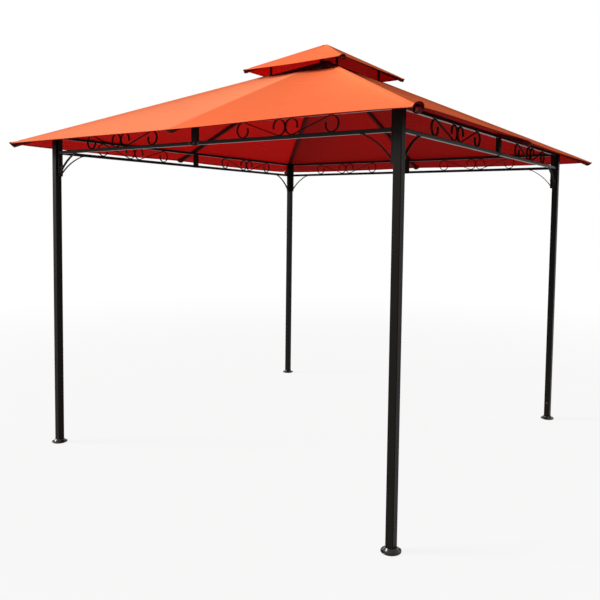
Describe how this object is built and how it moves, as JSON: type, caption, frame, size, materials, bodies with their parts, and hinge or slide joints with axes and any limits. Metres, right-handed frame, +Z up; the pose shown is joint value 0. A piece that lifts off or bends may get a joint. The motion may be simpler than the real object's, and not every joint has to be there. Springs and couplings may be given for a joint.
{
  "type": "garden gazebo",
  "caption": "Square garden gazebo: steel posts on round foot plates, scrollwork trusses and a vented pyramid roof of fabric in two tiers.",
  "frame": {"origin": "on the ground at the centre of the four posts", "axes": "+Z up; -Y towards the front; +X to the right seen from the front"},
  "size_m": [3, 3, 2.7999],
  "materials": {
    "post_steel": "dark brown powder coat",
    "truss_steel": "dark brown powder coat",
    "rafter_steel": "dark brown powder coat",
    "foot_steel": "dark brown powder coat",
    "cap_plastic": "black moulded",
    "canopy_fabric": "woven polyester, orange"
  },
  "bodies": {
    "root": {"back_left_braces": "truss_steel", "back_left_foot_plate": "foot_steel", "back_left_hip_rafter": "rafter_steel", "back_left_post": "post_steel", "back_left_top_rafter": "rafter_steel", "back_mid_rafter": "rafter_steel", "back_right_braces": "truss_steel", "back_right_foot_plate": "foot_steel", "back_right_hip_rafter": "rafter_steel", "back_right_post": "post_steel", "back_right_top_rafter": "rafter_steel", "back_truss_left": "truss_steel", "back_truss_right": "truss_steel", "front_left_braces": "truss_steel", "front_left_foot_plate": "foot_steel", "front_left_hip_rafter": "rafter_steel", "front_left_post": "post_steel", "front_left_top_rafter": "rafter_steel", "front_mid_rafter": "rafter_steel", "front_right_braces": "truss_steel", "front_right_foot_plate": "foot_steel", "front_right_hip_rafter": "rafter_steel", "front_right_post": "post_steel", "front_right_top_rafter": "rafter_steel", "front_truss_left": "truss_steel", "front_truss_right": "truss_steel", "left_mid_rafter": "rafter_steel", "left_truss_left": "truss_steel", "left_truss_right": "truss_steel", "lower_canopy_back": "canopy_fabric", "lower_canopy_front": "canopy_fabric", "lower_canopy_left": "canopy_fabric", "lower_canopy_right": "canopy_fabric", "rafter_end_caps": "cap_plastic", "right_mid_rafter": "rafter_steel", "right_truss_left": "truss_steel", "right_truss_right": "truss_steel", "roof_hub": "rafter_steel", "top_canopy_back": "canopy_fabric", "top_canopy_front": "canopy_fabric", "top_canopy_left": "canopy_fabric", "top_canopy_right": "canopy_fabric", "top_hub": "rafter_steel", "truss_centre_tubes": "truss_steel", "vent_struts": "rafter_steel"}
  },
  "joints": []
}
